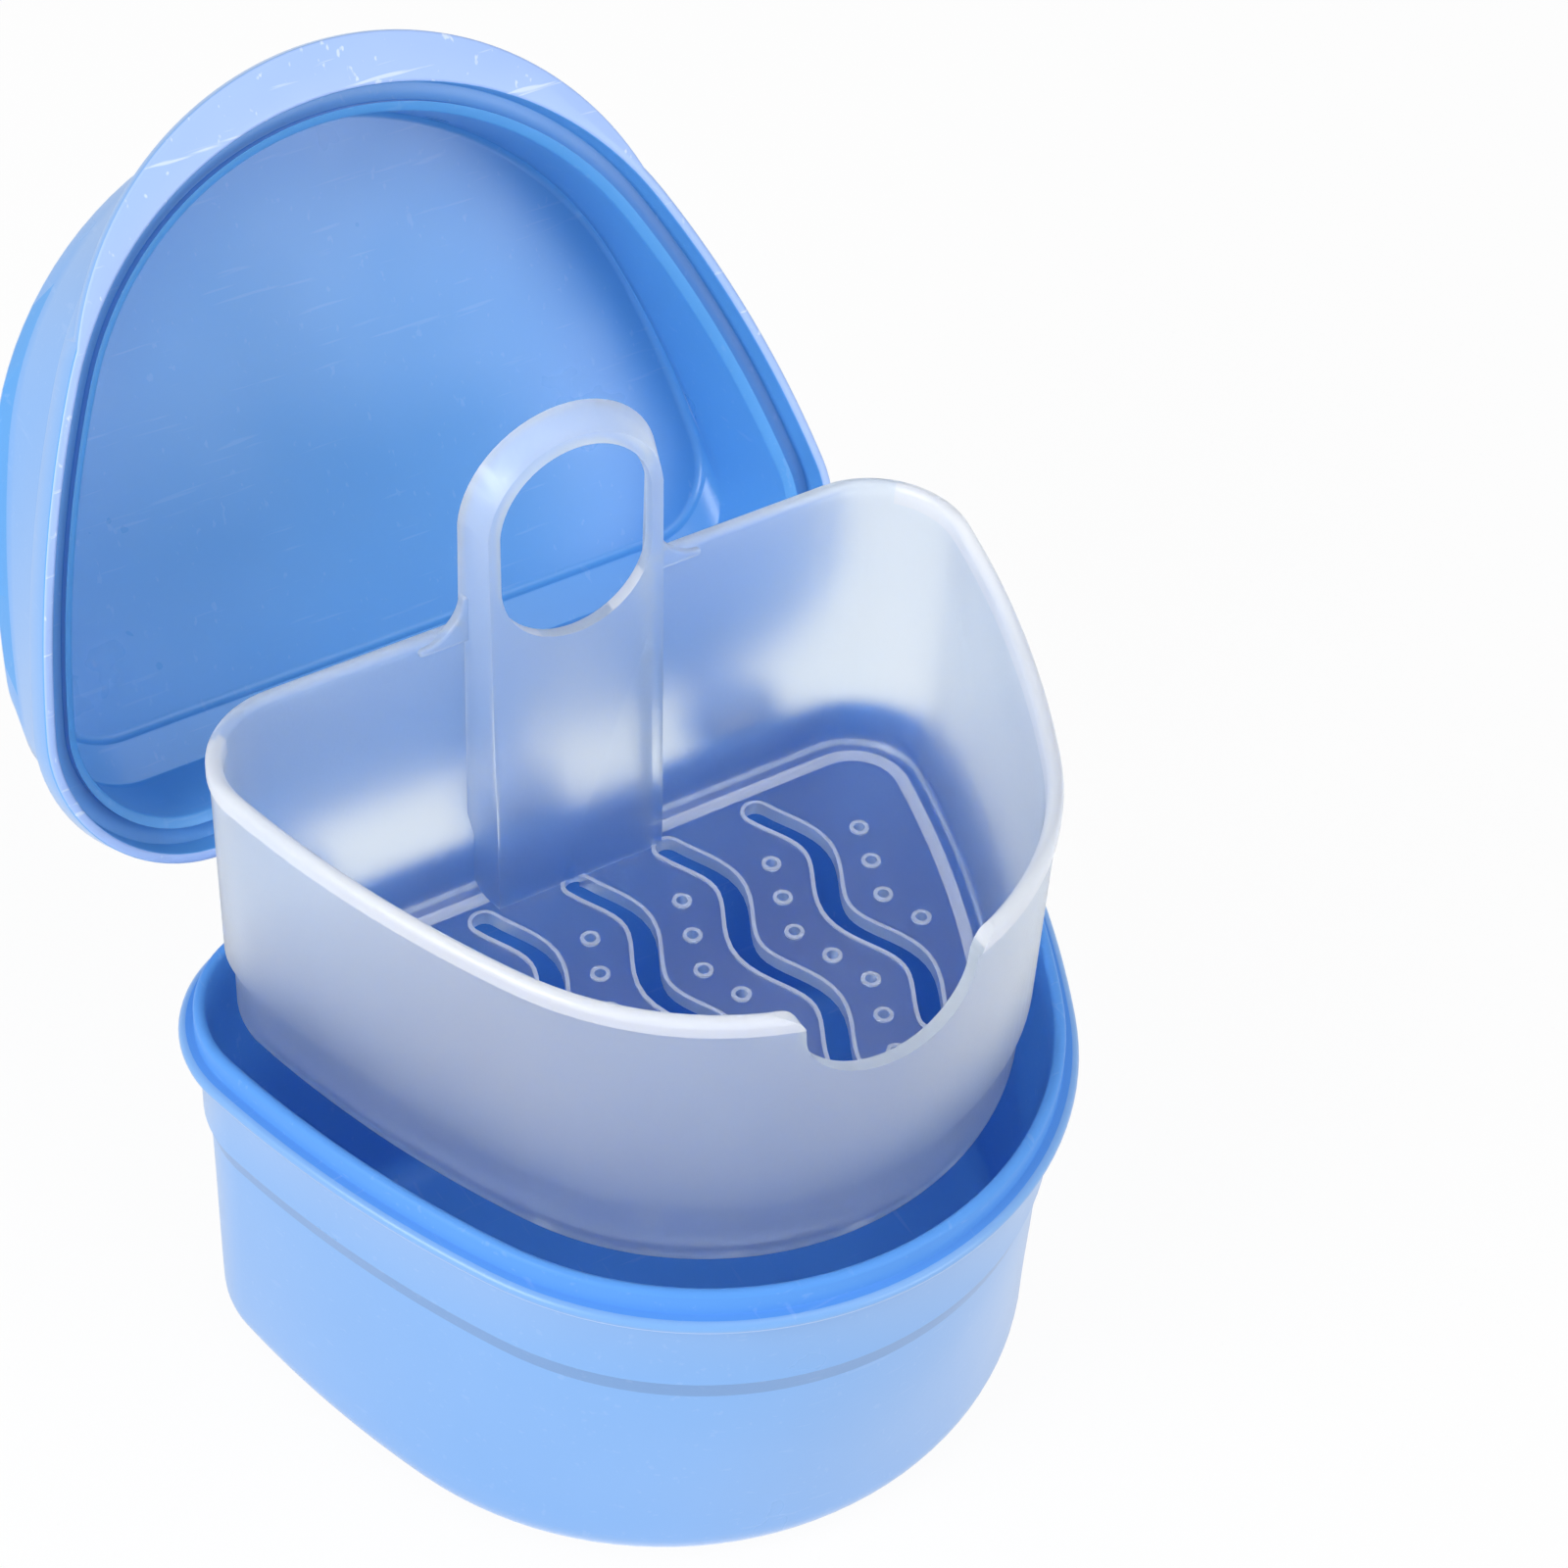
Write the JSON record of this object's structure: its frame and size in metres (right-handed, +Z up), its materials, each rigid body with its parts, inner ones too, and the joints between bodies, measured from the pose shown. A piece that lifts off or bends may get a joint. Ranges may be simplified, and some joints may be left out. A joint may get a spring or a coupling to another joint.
{
  "type": "denture case",
  "caption": "Rounded-triangle denture soaking case with a snap-hinged lid and a lift-out strainer basket with a finger-hole handle.",
  "frame": {"origin": "centre of the base's flat underside, on the surface that the case stands on", "axes": "+Z up, -Y towards the nose and the thumb flange, +Y towards the hinge, X across; the case is alike on both sides of x = 0"},
  "size_m": [0.0964, 0.1348, 0.1191],
  "materials": {
    "base_plastic": "smooth light blue, softly glossy",
    "lid_plastic": "smooth light blue, glossy inside",
    "basket_plastic": "frosted, translucent"
  },
  "bodies": {
    "base_body": {"base": "base_plastic"},
    "lid_body": {"lid": "lid_plastic"},
    "basket_body": {"strainer_basket": "basket_plastic"}
  },
  "joints": [
    {"name": "lid_hinge", "type": "hinge", "parent": "base_body", "child": "lid_body", "pos_m": [0, 0.04235, 0.0446], "axis": [1, 0, 0], "range_deg": [0, 117]},
    {"name": "basket_lift", "type": "slide", "parent": "base_body", "child": "basket_body", "axis": [0, 0, 1], "range_m": [-0.043, 0]}
  ],
  "couplings": [
    {"joint": "basket_lift", "follows": "lid_hinge", "m_per_rad": -0.02105}
  ]
}
